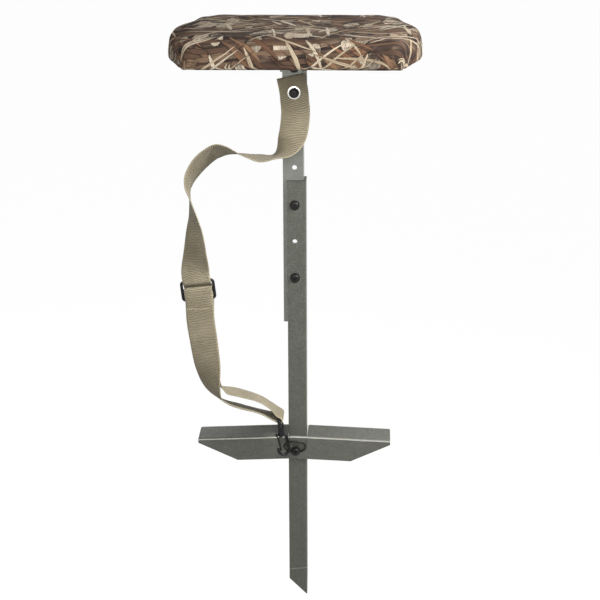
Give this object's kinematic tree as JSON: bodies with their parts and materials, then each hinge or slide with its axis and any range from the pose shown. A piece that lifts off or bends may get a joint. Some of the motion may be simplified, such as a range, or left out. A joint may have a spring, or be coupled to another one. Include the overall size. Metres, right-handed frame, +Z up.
{
  "type": "stake seat",
  "caption": "Padded stake seat on two nested, bolted steel angles with a pointed end, a tread plate and a webbing shoulder strap with slide buckle, swivel snap hook and ring.",
  "frame": {"origin": "on the bolt line at the front face of the lower post, level with the underside of the foot plate's tread, which rests on the ground in use", "axes": "+X to the right of the seat as the picture shows it, +Y to the rear, +Z up along the posts"},
  "size_m": [0.332, 0.24, 0.8175],
  "materials": {
    "steel_coat": "fine hammered powder coat",
    "black_steel": "black oxide, satin",
    "nickel": "nickel plate",
    "plywood": "bare plywood",
    "foam": "open-cell foam",
    "camo_cloth": "printed woven cloth with a reed pattern",
    "webbing": "ribbed nylon webbing"
  },
  "bodies": {
    "stake": {"lower_post": "steel_coat", "foot_plate": "steel_coat", "foot_bolt": "black_steel", "foot_nut": "black_steel", "height_bolts": "black_steel", "height_nuts": "black_steel", "strap_slider": "black_steel", "shoulder_strap": "webbing", "strap_return": "webbing", "strap_loop": "webbing"},
    "upper": {"upper_post": "steel_coat", "stop_plate": "steel_coat", "seat_cleat": "steel_coat", "seat_plate": "steel_coat", "seat_bolt": "black_steel", "seat_nut": "black_steel", "seat_board": "plywood", "insert_nuts": "nickel", "seat_screws": "black_steel", "seat_foam": "foam", "seat_cover": "camo_cloth", "strap_grommet": "nickel", "strap_bolt": "black_steel", "strap_nut": "black_steel"},
    "ring": {"carry_ring": "black_steel"},
    "hook": {"snap_hook": "black_steel", "tongue_pin": "nickel"},
    "tongue": {"hook_tongue": "black_steel"},
    "swivel": {"swivel_loop": "black_steel"}
  },
  "joints": [
    {"name": "height_slide", "type": "slide", "parent": "stake", "child": "upper", "axis": [0, 0, 1], "range_m": [-0.1016, 0.0508], "deforming": ["shoulder_strap"]},
    {"name": "ring_swivel", "type": "hinge", "parent": "stake", "child": "ring", "pos_m": [0, -0.00894, -0.015], "axis": [0, 1, 0], "range_deg": [-12, 4], "deforming": ["strap_return", "strap_loop"]},
    {"name": "hook_swing", "type": "hinge", "parent": "ring", "child": "hook", "pos_m": [-0.01447, -0.01723, -0.00439], "axis": [0.3574, -0.9336, 0.0262], "range_deg": [-5, 3], "deforming": ["strap_return", "strap_loop"]},
    {"name": "tongue_open", "type": "hinge", "parent": "hook", "child": "tongue", "pos_m": [-0.02426, -0.02057, 0.00987], "axis": [0.3574, -0.9336, 0.0262], "range_deg": [0, 10], "stiffness_Nm_per_rad": 0.02, "springref_deg": -17.19},
    {"name": "swivel_turn", "type": "hinge", "parent": "hook", "child": "swivel", "pos_m": [-0.0197, -0.01849, 0.02174], "axis": [-0.0732, 0, 0.9973], "range_deg": [-15, 15], "deforming": ["strap_return", "strap_loop"]}
  ]
}
